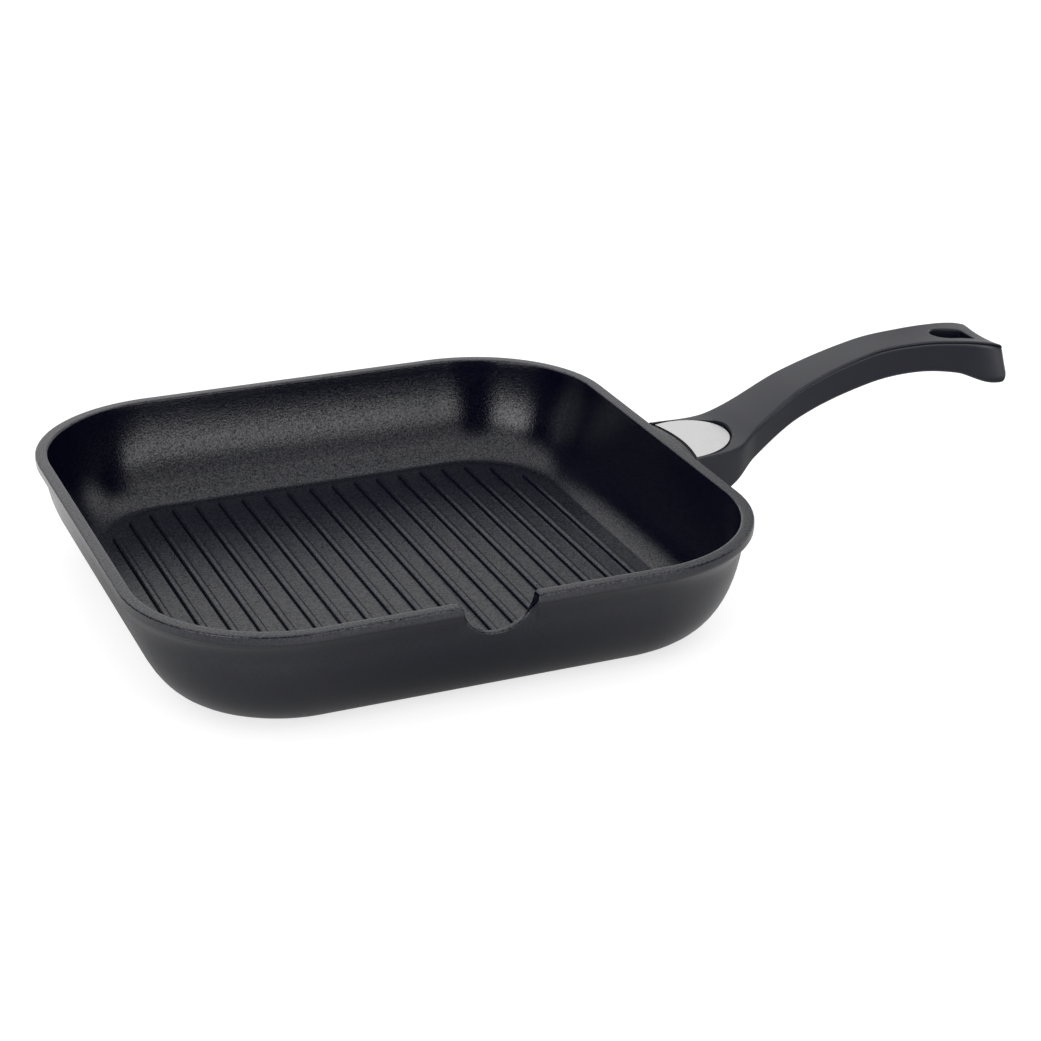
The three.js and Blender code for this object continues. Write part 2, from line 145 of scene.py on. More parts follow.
def ribbed_floor():
    """The floor as a height over x and y, in columns along the ribs: x, y and z grids.

    Each rib's height depends on the distance from its middle line, so that its ends are half rounds.
    Rows keep their distance from the rib's end, and the last row lies on the edge of the floor. Columns lie
    closer under the notch's shoulders, because the rim's rings take their points from the floor's edge.
    """
    away, height = rib_section()
    gap = np.linspace(away[-1], rib_pitch - away[-1], 6)[1:-1]
    offsets = np.concatenate([-away[:0:-1], away, gap])
    middles = rib_pitch * np.arange(-ribs_per_side, ribs_per_side + 1)
    field = ribs_per_side * rib_pitch + away[-1]
    flat = floor_half - floor_corner
    turn = np.linspace(math.asin((field - flat) / floor_corner), math.pi / 2, 8)[1:]
    margin = np.append(flat + floor_corner * np.sin(turn), floor_half - floor_border)
    shoulder = np.linspace(notch_fine_from, notch_fine_to, 14)
    x = (middles[:, None] + offsets).ravel()
    x = np.concatenate([x[np.abs(x) <= field + 1e-6], shoulder, -shoulder, margin, -margin])
    x = np.unique(np.round(x, 5))
    nearest = np.clip(np.round(x / rib_pitch), -ribs_per_side, ribs_per_side) * rib_pitch
    sides = (middles[:, None] + [-away[-1], away[-1]]).ravel()
    knots = np.concatenate([[-floor_half], sides, [floor_half]])
    ends = np.repeat(rounded_reach(middles, rib_field_half, rib_field_corner), 2)
    ends = [flat - rib_row_spare, *ends, flat - rib_row_spare]
    spine = np.interp(x, knots, ends) - rib_foot_half
    edge = rounded_reach(x, floor_half, floor_corner)
    rows = [0 * spine, spine / 2, *(spine + step for step in away)]
    rows += [(rows[-1] + edge) / 2, edge - floor_border, edge]
    rows = np.array(rows)
    y = np.concatenate([-rows[:0:-1], rows])
    distance = np.hypot(np.abs(x - nearest), np.maximum(np.abs(y) - spine, 0))
    z = floor_z + np.interp(distance, away, height)
    return np.broadcast_to(x, y.shape), y, z


def notch_ridge(x, depth):
    """Shifts in x and z that bend a line at a depth below the rim round the pour notch, for places x on it.

    The bent line is straight, then a round shoulder, then one arc, each taken by its length. A deeper line
    has a wider arc about the same centre and a tighter shoulder.
    """
    centre = rim_top - notch_depth + notch_radius
    radius = notch_radius + depth
    shoulder = np.maximum(notch_shoulder - depth, notch_least_round)
    shoulder_z = rim_top - depth - shoulder
    shoulder_x = np.sqrt((radius + shoulder) ** 2 - (centre - shoulder_z) ** 2)
    half_turn = np.arctan2(shoulder_x, centre - shoulder_z)
    arc, bend = radius * half_turn, shoulder * half_turn
    widen = (rim_half - rim_corner) / (floor_half - floor_corner)
    along = np.abs(x) * (widen + (arc + bend - shoulder_x) / notch_reach)
    turn = np.minimum(along, arc) / radius
    angle = half_turn - np.clip(along - arc, 0, bend) / shoulder
    straight = np.maximum(along - arc - bend, 0)
    on_arc = along <= arc
    ridge_x = np.where(on_arc, radius * np.sin(turn), shoulder_x - shoulder * np.sin(angle) + straight)
    ridge_z = np.where(on_arc, centre - radius * np.cos(turn), shoulder_z + shoulder * np.cos(angle))
    inside = np.abs(x) < notch_reach
    shift_x = np.where(inside, np.sign(x) * ridge_x - widen * x, 0)
    return shift_x, np.where(inside, ridge_z - rim_top + depth, 0)


def cast_shell():
    """Points and faces of the tray: the ribbed floor, then rings up the inner wall, over the rim and down.

    A ring is flat * F + corner * N, where F walks a square of half side 1 and N is the outward normal.
    Rings near the rim follow the notch at their own depth, and that shift dies out toward the floor.
    """
    x, y, z = ribbed_floor()
    count = z.size
    index = np.arange(count).reshape(z.shape)
    loop = np.concatenate([index[0], index[1:, -1], index[-1, -2::-1], index[-2:0:-1, 0]])
    edge_x, edge_y = x.ravel()[loop], y.ravel()[loop]
    flat = floor_half - floor_corner
    walk = np.clip(np.stack([edge_x, edge_y]) / flat, -1, 1)
    normal = np.stack([edge_x, edge_y]) - walk * flat
    normal = normal / np.hypot(*normal)
    front = (walk[1] <= -1) & (np.abs(walk[0]) < 1)
    along = np.where(front, edge_x, 2 * notch_reach)
    nowhere = 0 * along
    low = rim_top - notch_fade_height

    def place(depth):
        """Shift in x and the height of points that lie depth below the rim's line."""
        fade = 1 - np.clip((depth - rim_edge) / (low - rim_edge), 0, 1)
        shift_x, shift_z = notch_ridge(along, np.minimum(depth, rim_edge))
        return fade * shift_x, rim_top - depth + fade * shift_z

    def ring(half, corner, height, slide):
        """The rounded square of that half width and corner, at a height and slid along x."""
        outline = (half - corner) * walk + corner * normal
        return np.stack([outline[0] + slide, outline[1], height + 0 * slide], 1)

    rings = []
    tall = inner_head[2] - inner_foot[2]
    crease = math.acos(1 - floor_crease / tall)
    for turn in np.linspace(crease, math.pi / 2, 20)[1:-1]:
        depth = rim_top - inner_foot[2] - tall * (1 - math.cos(turn))
        slide, height = place(depth + nowhere)
        rings.append(ring(*wall_at(height, inner_foot, inner_head), height, slide))
    _, edge_height = place(inner_edge + nowhere)
    inner, corner_in = wall_at(edge_height, inner_foot, inner_head)
    for turn in np.linspace(0, math.pi / 2, 6):
        slide, height = place(inner_edge * (1 - math.sin(turn)) + nowhere)
        rings.append(ring(inner + inner_edge * (1 - math.cos(turn)), corner_in, height, slide))
    _, edge_height = place(rim_edge + nowhere)
    outer, corner_out = outer_wall(edge_height)
    slide, height = place(nowhere)
    mouth, brink = inner + inner_edge, outer - rim_edge
    for share in (0.3, 0.7):
        corner = corner_in + (corner_out - rim_edge - corner_in) * share
        rings.append(ring(mouth + (brink - mouth) * share, corner, height, slide))
    for turn in np.linspace(math.pi / 2, 0, 7):
        inset = rim_edge * (1 - math.cos(turn))
        slide, height = place(rim_edge * (1 - math.sin(turn)) + nowhere)
        rings.append(ring(outer - inset, corner_out - inset, height, slide))
    face = np.linspace(rim_edge, neck_drop, 9)[1:]
    wall = rim_top - outer_neck[2] * (1 - np.cos(np.linspace(math.pi / 2, 0, 16)[1:]))
    for depth in np.concatenate([face, wall]):
        slide, height = place(depth + nowhere)
        rings.append(ring(*outer_wall(height), height, slide))
    for share in (0.93, 0.6, 0.25):
        rings.append(ring(base_half * share, base_corner * share, nowhere, nowhere))

    points = np.concatenate([np.stack([x.ravel(), y.ravel(), z.ravel()], 1), *rings, np.zeros((1, 3))])
    numbers = np.arange(len(rings) * len(loop)).reshape(len(rings), -1) + count
    numbers = np.concatenate([loop[None], numbers])
    lower, upper = numbers[:-1], numbers[1:]
    quads = np.stack([lower, upper, np.roll(upper, -1, 1), np.roll(lower, -1, 1)], -1).reshape(-1, 4)
    floor = np.stack([index[:-1, :-1], index[:-1, 1:], index[1:, 1:], index[1:, :-1]], -1).reshape(-1, 4)
    last = numbers[-1]
    fan = np.stack([last, np.full_like(last, len(points) - 1), np.roll(last, -1)], -1)
    return points, [*floor.tolist(), *quads.tolist(), *fan.tolist()]


def make_piece(name, points, faces):
    """A new smooth mesh object at the origin from points in millimetres and lists of point numbers."""
    mesh = bpy.data.meshes.new(name)
    mesh.from_pydata((np.asarray(points) * MM).tolist(), [], faces)
    mesh.shade_smooth()
    piece = bpy.data.objects.new(name, mesh)
    bpy.context.scene.collection.objects.link(piece)
    return piece


def loft(name, rings):
    """A closed solid through rings of equal count, counter-clockwise seen against their way; flat ends."""
    rings = np.asarray(rings, float)
    levels, count = rings.shape[:2]
    points = np.concatenate([rings.reshape(-1, 3), [rings[0].mean(0), rings[-1].mean(0)]])
    number = np.arange(levels * count).reshape(levels, count)
    beside = np.roll(number, -1, 1)
    sides = np.stack([number[:-1], beside[:-1], beside[1:], number[1:]], -1).reshape(-1, 4)
    start = np.stack([beside[0], number[0], np.full(count, levels * count)], -1)
    stop = np.stack([number[-1], beside[-1], np.full(count, levels * count + 1)], -1)
    return make_piece(name, points, [*sides.tolist(), *start.tolist(), *stop.tolist()])


def carve(piece, operation, *tools):
    """Joins piece with closed tools, or cuts them out of it, and removes the tools."""
    for tool in tools:
        step = piece.modifiers.new("carve", "BOOLEAN")
        step.operation = operation
        step.solver = "MANIFOLD"
        step.object = tool
    solid = piece.evaluated_get(bpy.context.evaluated_depsgraph_get())
    piece.data = bpy.data.meshes.new_from_object(solid)
    piece.data.materials.clear()
    piece.data.polygons.foreach_set("material_index", np.zeros(len(piece.data.polygons), int))
    piece.modifiers.clear()
    for tool in tools:
        bpy.data.objects.remove(tool)


def level(outline, z):
    """An outline of x and y as a ring at height z."""
    return np.column_stack([outline, np.full(len(outline), z)])


def disc(radius, x, y, steps=48):
    """A circle's outline, counter-clockwise."""
    turn = np.arange(steps) * 2 * math.pi / steps
    return np.column_stack([x + radius * np.cos(turn), y + radius * np.sin(turn)])


def post(name, radius, bottom, top, x, y=0.0):
    """A plain round bar between two heights."""
    return loft(name, [level(disc(radius, x, y), bottom), level(disc(radius, x, y), top)])


pad_front = rim_half + 7.5
pad_radius = 90.0
pad_centre = pad_front - pad_radius
pad_half = 23.5
pad_top = rim_top - 3.8
pad_bottom = pad_top - 30.0
pad_taper = 3.7
pad_round = 0.8
pad_root = 1.6
pad_least = 1.0
tongue_half = 12.0
tongue_root = rim_half - 2.0
tongue_tip = pad_front + 18.3
tongue_corner = 4.0
tongue_top = rim_top - 8.5
tongue_bottom = tongue_top - 8.5
screw_x = pad_front + 8.5
insert_radius = 4.0
touch_gap = 0.3
cut_past = 2.0


def pad_ring(z, share, inset):
    """The lug's outline at height z: its arc front drawn toward the wall by share, its back in the wall."""
    across = np.linspace(-1, 1, 25) * (pad_half - inset)
    arc = pad_centre + np.sqrt((pad_radius - inset) ** 2 - across**2)
    back = float(wall_at(z, inner_foot, inner_head)[0]) + pad_root
    front = back + pad_least + (arc - back - pad_least) * share
    rear = np.column_stack([np.full(9, back), np.linspace(across[-1], across[0], 9)])
    return level(np.concatenate([np.column_stack([front, across]), rear]), z)


def tongue_outline(grow):
    """The tongue's plan: straight sides and two round corners at its tip, larger by grow all round."""
    corner = tongue_corner + grow
    half = tongue_half + grow
    turn = np.linspace(0, math.pi / 2, 9)
    tip = tongue_tip + grow - corner
    low = np.column_stack([tip + corner * np.sin(turn), -half + corner - corner * np.cos(turn)])
    high = np.column_stack([tip + corner * np.cos(turn), half - corner + corner * np.sin(turn)])
    return np.concatenate([[[tongue_root, -half]], low, high, [[tongue_root, half]]])


pan = make_piece("pan_casting", *cast_shell())
round_over = np.linspace(0, math.pi / 2, 5)
lug = loft("lug", [
    pad_ring(pad_bottom - pad_taper, 0.0, 0.0),
    pad_ring(pad_bottom, 1.0, 0.0),
    *(pad_ring(pad_top - pad_round * (1 - math.sin(turn)), 1.0, pad_round * (1 - math.cos(turn)))
      for turn in round_over),
])
tongue = loft("tongue", [level(tongue_outline(0), tongue_bottom), level(tongue_outline(0), tongue_top)])
carve(pan, "UNION", lug, tongue)
carve(pan, "DIFFERENCE", post(
    "insert_cutter", insert_radius + touch_gap, tongue_bottom - cut_past, tongue_top + cut_past, screw_x))
pan.data.shade_smooth()
pan.data.set_sharp_from_angle(angle=math.radians(42))


def linear(code):
    """An sRGB hex colour as linear red, green, blue and alpha 1."""
    value = np.array([int(code[start:start + 2], 16) for start in (1, 3, 5)]) / 255
    value = np.where(value <= 0.04045, value / 12.92, ((value + 0.055) / 1.055) ** 2.4)
    return (*value.tolist(), 1.0)


def add(tree, kind, inputs=None, **settings):
    """Adds a node with its settings. An input is a value, or another node's output that it is linked to."""
    node = tree.nodes.new(kind)
    for name, value in settings.items():
        setattr(node, name, value)
    for name, value in (inputs or {}).items():
        if isinstance(value, bpy.types.NodeSocket):
            tree.links.new(value, node.inputs[name])
        else:
            node.inputs[name].default_value = value
    return node


def new_material(name):
    """An empty node material: its tree and its output node."""
    material = bpy.data.materials.new(name)
    material.use_nodes = True
    material.node_tree.nodes.clear()
    return material, material.node_tree, add(material.node_tree, "ShaderNodeOutputMaterial")


# Sprayed non-stick coat: near black resin full of fine mineral grit. It dries to a sandy skin, dark from
# above and pale at a low angle. Grit settles on what faces up, so the floor is dullest and the outside
# smooth. The steep sides of the ribs get a weaker sheen, which is painted shade that keeps them dark.
# The grit is about 0.3 mm and is drawn at 0.9 mm so that it shows.
grit_size = 0.9 * MM
cloud_size = 14 * MM
coat, tree, output = new_material("sandy non-stick coat on cast aluminium")
place = add(tree, "ShaderNodeTexCoord")
grit = add(tree, "ShaderNodeTexNoise", {
    "Vector": place.outputs["Object"], "Scale": 1 / grit_size, "Detail": 3.0, "Roughness": 0.6})
cloud = add(tree, "ShaderNodeTexNoise", {
    "Vector": place.outputs["Object"], "Scale": 1 / cloud_size, "Detail": 2.0})
shade = add(tree, "ShaderNodeMapRange", {
    "Value": grit.outputs["Fac"], "From Min": 0.32, "From Max": 0.68, "To Min": 0.0, "To Max": 1.0})
tint = add(tree, "ShaderNodeMix", {
    0: shade.outputs["Result"], 6: linear("#010312"), 7: linear("#06081d")}, data_type="RGBA")
dull = add(tree, "ShaderNodeMath", {
    0: shade.outputs["Result"], 1: 0.05, 2: 0.13}, operation="MULTIPLY_ADD")
dull = add(tree, "ShaderNodeMath", {
    0: cloud.outputs["Fac"], 1: 0.06, 2: dull.outputs["Value"]}, operation="MULTIPLY_ADD")
facing = add(tree, "ShaderNodeSeparateXYZ", {"Vector": place.outputs["Normal"]})
spot = add(tree, "ShaderNodeSeparateXYZ", {"Vector": place.outputs["Object"]})
settled = add(tree, "ShaderNodeMapRange", {
    "Value": spot.outputs["Z"], "From Min": 6 * MM, "From Max": 12 * MM, "To Min": 0.1, "To Max": 0.0})
dull = add(tree, "ShaderNodeMath", {
    0: dull.outputs["Value"], 1: settled.outputs["Result"]}, operation="ADD")
bump = add(tree, "ShaderNodeBump", {
    "Height": grit.outputs["Fac"], "Strength": 1.0, "Distance": 0.08 * MM})
sandy = add(tree, "ShaderNodeMapRange", {
    "Value": facing.outputs["Z"], "From Min": -0.05, "From Max": 0.2, "To Min": 0.1, "To Max": 0.72})
sheen = add(tree, "ShaderNodeMath", {0: shade.outputs["Result"], 1: 0.5}, operation="SUBTRACT")
sheen = add(tree, "ShaderNodeMath", {
    0: sheen.outputs["Value"], 1: sandy.outputs["Result"], 2: 0.5}, operation="MULTIPLY_ADD")
# Painted shade: on steep faces at floor height, which are the ribs' sides, the sheen drops to a quarter, so
# they stay dark.
steep = add(tree, "ShaderNodeMapRange", {
    "Value": facing.outputs["Z"], "From Min": 0.35, "From Max": 0.75, "To Min": 0.25, "To Max": 1.0})
outside = add(tree, "ShaderNodeMapRange", {
    "Value": facing.outputs["Z"], "From Min": 0.02, "From Max": 0.1, "To Min": 1.0, "To Max": 0.0})
higher = add(tree, "ShaderNodeMapRange", {
    "Value": spot.outputs["Z"], "From Min": 5.95 * MM, "From Max": 6.6 * MM, "To Min": 0.0, "To Max": 1.0})
painted_rib_shade = add(tree, "ShaderNodeMath", {
    0: steep.outputs["Result"], 1: outside.outputs["Result"]}, operation="MAXIMUM")
painted_rib_shade = add(tree, "ShaderNodeMath", {
    0: painted_rib_shade.outputs["Value"], 1: higher.outputs["Result"]}, operation="MAXIMUM")
sheen = add(tree, "ShaderNodeMath", {
    0: sheen.outputs["Value"], 1: painted_rib_shade.outputs["Value"]}, operation="MULTIPLY")
skin = add(tree, "ShaderNodeBsdfPrincipled", {
    "Base Color": tint.outputs[2], "Roughness": dull.outputs["Value"], "Normal": bump.outputs["Normal"],
    "Specular IOR Level": sheen.outputs["Value"]})
tree.links.new(skin.outputs["BSDF"], output.inputs["Surface"])

pan.data.materials.append(coat)
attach(pan, "root")
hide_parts("pan_body")

# Handle
# One phenolic moulding, wide at the lug and narrow at the waist, with a finger stop at its end. A fine
# groove runs below the edge of its top face. The tongue of the casting sits in a socket in its root.
station_reach = np.array([4, 28, 40, 66, 104, 130, 152, 165, 173.5])
station_half = np.array([25.8, 22.5, 17.4, 12.8, 10.4, 11.3, 14.5, 16.5, 17.0])
station_top = np.array([-3.6, -2.0, 4.5, 19.0, 30.4, 32.3, 31.2, 29.3, 26.9])
station_under = np.array([-35.0, -21.3, -12.6, 2.3, 13.2, 15.9, 13.6, 8.4, 8.1])
station_crown = np.array([0.4, 0.3, 0.5, 0.2, 0, -0.2, -1.0, -1.3, -1.2])
station_edge = np.array([0.8, 1.0, 1.2, 1.0, 0.7, 0.6, 0.6, 0.6, 0.6])
station_groove = np.array([0, 0, 0, 0.25, 0.55, 0.6, 0.6, 0.6, 0.6])
handle_end = rim_half + station_reach[-1]
tip_lean = 2.2
tip_round = 2.8
tip_top_round = 2.0
tip_under_round = 4.0
tip_flare = 4.0
groove_drop = 0.8
groove_width = 1.1
side_draft = 1.5
under_round = 2.5
socket_gap = 0.5


def along_handle(measure, x):
    """A measure of the handle at x: cubic curves through its stations, sloped as their neighbours lie."""
    reach = np.asarray(x, float) - rim_half
    ahead = np.minimum(np.arange(len(measure)) + 1, len(measure) - 1)
    behind = np.maximum(np.arange(len(measure)) - 1, 0)
    slope = (measure[ahead] - measure[behind]) / (station_reach[ahead] - station_reach[behind])
    start = np.clip(np.searchsorted(station_reach, reach, side="right") - 1, 0, len(measure) - 2)
    span = station_reach[start + 1] - station_reach[start]
    t = (reach - station_reach[start]) / span
    ends = measure[start] * (1 + 2 * t) * (1 - t) ** 2 + measure[start + 1] * t * t * (3 - 2 * t)
    return ends + span * t * (1 - t) * (slope[start] * (1 - t) - slope[start + 1] * t)


def handle_top(x, y):
    """Height of the handle's top face, which is crowned at the root and dished near the tip."""
    half = along_handle(station_half, x)
    return rim_top + along_handle(station_top, x) + along_handle(station_crown, x) * (1 - (y / half) ** 2)


def handle_rings():
    """Rings across the handle from root to tip, as an array of rings by points by x, y and z.

    Half a ring goes from the middle of the top over the round edge, past the groove, down the drafted side
    and round to the middle of the underside, and its mirror image closes it. The tip draws in by a quarter
    circle, its sides flare downward, and its end leans so that the finger stop reaches farthest.
    """
    start = rim_half + station_reach[0]
    bend = handle_end - tip_round
    tip_x = bend + tip_round * np.sin(np.linspace(0, math.pi / 2, 10)[1:])
    x = np.concatenate([np.linspace(start, bend, 120), tip_x])[:, None]
    into = np.clip((x - bend) / tip_round, 0, 1)
    drawn = 1 - np.sqrt(1 - into**2)
    half = along_handle(station_half, x) - tip_round * drawn
    top = rim_top + along_handle(station_top, x) - tip_top_round * drawn
    under = rim_top + along_handle(station_under, x) + tip_under_round * drawn
    crown = along_handle(station_crown, x)
    edge = along_handle(station_edge, x)
    groove = along_handle(station_groove, x)
    tip = ease(x, rim_half + station_reach[-3], handle_end)
    low = half - side_draft + tip_flare * tip
    across = np.linspace(0, 1, 10)
    turn = np.linspace(0, math.pi / 2, 9)[1:]
    dip = np.linspace(0, 1, 11)[1:]
    down = np.linspace(0, 1, 11)[1:]
    flat_y = (half - edge) * across
    edge_y, edge_z = half - edge + edge * np.sin(turn), top - edge + edge * np.cos(turn)
    groove_z = top - edge - groove_drop * dip[:1] - groove_width * dip
    groove_y = half - groove * np.sin(math.pi * dip) ** 2
    side_from, side_to = groove_z[:, -1:], under + under_round
    side_z = side_from + (side_to - side_from) * down
    side_y = half + (low - half) * down
    foot_y = low - under_round + under_round * np.cos(turn)
    foot_z = under + under_round * (1 - np.sin(turn))
    base_y = (low - under_round) * np.linspace(1, 0, 8)[1:]
    y = np.concatenate([flat_y, edge_y, groove_y, side_y, foot_y, base_y], 1)
    z = np.concatenate([
        top + crown * (1 - (flat_y / half) ** 2), edge_z + crown * (1 - (edge_y / half) ** 2).clip(0),
        groove_z, side_z, foot_z, under + 0 * base_y], 1)
    place_x = x + tip_lean * tip * (top - z) / (top - under)
    side = np.stack([place_x, y, z], -1)
    mirror = side[:, -2:0:-1] * [1, -1, 1]
    return np.concatenate([side, mirror], 1)[:, ::-1]


slot_half = 7.2
slot_length = 20.8
slot_outer = handle_end - 10.2
slot_corner = 2.0
slot_flare = 0.7


def slot_outline(grow):
    """The hanging slot's plan: a half round toward the pan and two small corners toward the tip."""
    half, corner = slot_half + grow, slot_corner + grow
    turn = np.linspace(0, math.pi / 2, 9)
    outer = slot_outer + grow
    inner = slot_outer - slot_length + slot_half
    low = np.column_stack([outer - corner + corner * np.sin(turn), -half + corner - corner * np.cos(turn)])
    high = np.column_stack([outer - corner + corner * np.cos(turn), half - corner + corner * np.sin(turn)])
    swing = np.linspace(math.pi / 2, 1.5 * math.pi, 25)
    round_end = np.column_stack([inner + half * np.cos(swing), half * np.sin(swing)])
    return np.concatenate([low, high, round_end])


def slot_cutter():
    """The slot's tool: a straight hole whose mouth flares on the dished top face to leave a round edge."""
    rings = [level(slot_outline(0), rim_top)]
    for turn in np.linspace(0, math.pi / 2, 5):
        outline = slot_outline(slot_flare * (1 - math.cos(turn)))
        height = handle_top(outline[:, 0], outline[:, 1]) - slot_flare * (1 - math.sin(turn))
        rings.append(np.column_stack([outline, height]))
    rings.append(level(slot_outline(slot_flare + 1.0), rim_top + 40))
    return loft("slot_cutter", rings)


plate_border = 1.0
plate_half = pad_half - plate_border
plate_straight = 3.2
plate_gap = 1.1
plate_thickness = 1.6
plate_tilt = math.radians(5)
plate_x = pad_centre + math.sqrt((pad_radius + plate_gap) ** 2 - plate_half**2)
plate_z = rim_top - 3.9
pin_radius = 1.2
pin_length = 4.0
pin_x = 8.0
pin_y = tongue_half + 4.0


def tilted(ring):
    """A ring of the plate's own frame, x from its corners toward the tip and z from its face, in place."""
    x, y, z = np.moveaxis(np.asarray(ring, float), -1, 0)
    cos, sin = math.cos(plate_tilt), math.sin(plate_tilt)
    return np.stack([plate_x + x * cos - z * sin, y, plate_z + x * sin + z * cos], -1)


def pocket_outline(grow):
    """The pocket's plan: open toward the pan, straight sides and a half circle toward the tip."""
    half = plate_half + plate_gap + grow
    turn = np.linspace(-math.pi / 2, math.pi / 2, 65)
    arc = np.column_stack([plate_straight + half * np.cos(turn), half * np.sin(turn)])
    return np.concatenate([[[-half, -half]], arc, [[-half, half]]])


def pocket_cutter():
    """The pocket's tool: straight up from its floor, then flared to round the collar's edge."""
    floor = -plate_thickness - touch_gap
    heights = ((0.0, floor), (0.0, 0.3), (0.1, 0.7), (0.3, 1.0), (0.3, 30.0))
    return loft("pocket_cutter", [tilted(level(pocket_outline(grow), z)) for grow, z in heights])


seat_thickness = 3.5
seat_z = tongue_bottom - socket_gap - seat_thickness
bore_radius = 2.8
washer_radius = 5.0

handle = loft("handle_moulding", handle_rings())
pins = [tilted(level(disc(pin_radius + touch_gap, pin_x, side * pin_y), 0)) for side in (-1, 1)]
pin_drop = tilted([[0, 0, -pin_length - plate_thickness - 2 * touch_gap]]) - tilted([[0, 0, 0]])
socket_levels = (tongue_bottom - socket_gap, tongue_top + socket_gap)
carve(
    handle, "DIFFERENCE",
    post("pad_cutter", pad_radius + socket_gap, -60, rim_top * 2, pad_centre),
    loft("socket_cutter", [level(tongue_outline(socket_gap), z) for z in socket_levels]),
    slot_cutter(),
    pocket_cutter(),
    post("bore_cutter", bore_radius, -5, tongue_bottom, screw_x),
    post("seat_cutter", washer_radius + socket_gap, -5, seat_z, screw_x),
    *(loft("pin_cutter", [ring + pin_drop, ring]) for ring in pins),
)
handle.data.shade_smooth()
handle.data.set_sharp_from_angle(angle=math.radians(40))

# Moulded phenolic: a hard dark resin out of a finely blasted steel mould. The skin is satin, with a grain
# of about 0.1 mm that is drawn at 0.6 mm so that it shows, and slow clouds from the filler in the resin.
pore_size = 0.6 * MM
filler_size = 9 * MM
phenolic, tree, output = new_material("satin moulded phenolic")
place = add(tree, "ShaderNodeTexCoord")
pores = add(tree, "ShaderNodeTexNoise", {
    "Vector": place.outputs["Object"], "Scale": 1 / pore_size, "Detail": 2.0})
filler = add(tree, "ShaderNodeTexNoise", {
    "Vector": place.outputs["Object"], "Scale": 1 / filler_size, "Detail": 3.0})
tint = add(tree, "ShaderNodeMix", {
    0: filler.outputs["Fac"], 6: linear("#0b0c1a"), 7: linear("#121425")}, data_type="RGBA")
dull = add(tree, "ShaderNodeMath", {0: pores.outputs["Fac"], 1: 0.12, 2: 0.26}, operation="MULTIPLY_ADD")
bump = add(tree, "ShaderNodeBump", {
    "Height": pores.outputs["Fac"], "Strength": 0.25, "Distance": 0.03 * MM})
skin = add(tree, "ShaderNodeBsdfPrincipled", {
    "Base Color": tint.outputs[2], "Roughness": dull.outputs["Value"], "Normal": bump.outputs["Normal"]})
tree.links.new(skin.outputs["BSDF"], output.inputs["Surface"])

handle.data.materials.append(phenolic)
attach(handle, "root")
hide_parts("handle")

# Blank plate
# A stamped D of satin stainless sheet with a bright rolled edge, let into the top of the handle's root
# and held by two pins that are pressed into the moulding. Its face is left bare.
plate_edge = 0.7


def plate_outline():
    """The plate's plan: short straight sides, a half circle toward the tip, a hollow arc along the lug."""
    turn = np.linspace(-math.pi / 2, math.pi / 2, 97)
    arc = np.column_stack([plate_straight + plate_half * np.cos(turn), plate_half * np.sin(turn)])
    centre = pad_centre - plate_x
    swing = math.asin(plate_half / (pad_radius + plate_gap))
    turn = np.linspace(swing, -swing, 49)
    hollow = np.column_stack([centre + np.cos(turn) * (pad_radius + plate_gap),
                              np.sin(turn) * (pad_radius + plate_gap)])
    return np.concatenate([arc, hollow])


outline = plate_outline()
plate = loft("blank_plate", [tilted(level(outline, -plate_thickness)), tilted(level(outline, 0))])
for side in (-1, 1):
    pin = disc(pin_radius, pin_x, side * pin_y, 24)
    tall = (-pin_length - plate_thickness, -plate_thickness / 2)
    carve(plate, "UNION", loft("pin", [tilted(level(pin, z)) for z in tall]))
plate.data.shade_smooth()
plate.data.set_sharp_from_angle(angle=math.radians(40))
rolled = plate.modifiers.new("rolled edge", "BEVEL")
rolled.width = plate_edge * MM
rolled.segments = 4
rolled.limit_method = "ANGLE"
rolled.angle_limit = math.radians(50)
rolled.harden_normals = True

# Satin stainless sheet: pale, evenly rubbed across the handle, so it has short fine lines in its sheen.
# The lines are about 0.05 mm apart and are drawn at 0.4 mm so that they show.
line_width = 0.4 * MM
line_length = 7 * MM
satin, tree, output = new_material("satin stainless sheet")
place = add(tree, "ShaderNodeTexCoord")
spread = add(tree, "ShaderNodeMapping", {
    "Vector": place.outputs["Object"], "Scale": (1 / line_width, 1 / line_length, 1 / line_width)})
lines = add(tree, "ShaderNodeTexNoise", {"Vector": spread.outputs["Vector"], "Scale": 1.0, "Detail": 3.0})
tint = add(tree, "ShaderNodeMix", {
    0: lines.outputs["Fac"], 6: linear("#cecece"), 7: linear("#e2e2e2")}, data_type="RGBA")
dull = add(tree, "ShaderNodeMath", {0: lines.outputs["Fac"], 1: 0.16, 2: 0.34}, operation="MULTIPLY_ADD")
bump = add(tree, "ShaderNodeBump", {
    "Height": lines.outputs["Fac"], "Strength": 0.2, "Distance": 0.02 * MM})
skin = add(tree, "ShaderNodeBsdfPrincipled", {
    "Base Color": tint.outputs[2], "Metallic": 1.0, "Roughness": dull.outputs["Value"],
    "Normal": bump.outputs["Normal"]})
tree.links.new(skin.outputs["BSDF"], output.inputs["Surface"])

plate.data.materials.append(satin)
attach(plate, "root")
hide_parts("badge_plate")

# Fastening
# A steel insert in the casting's tongue, and an M5 screw from below with a flat and a spring washer.
# All four are turned or stamped steel, plated with zinc.

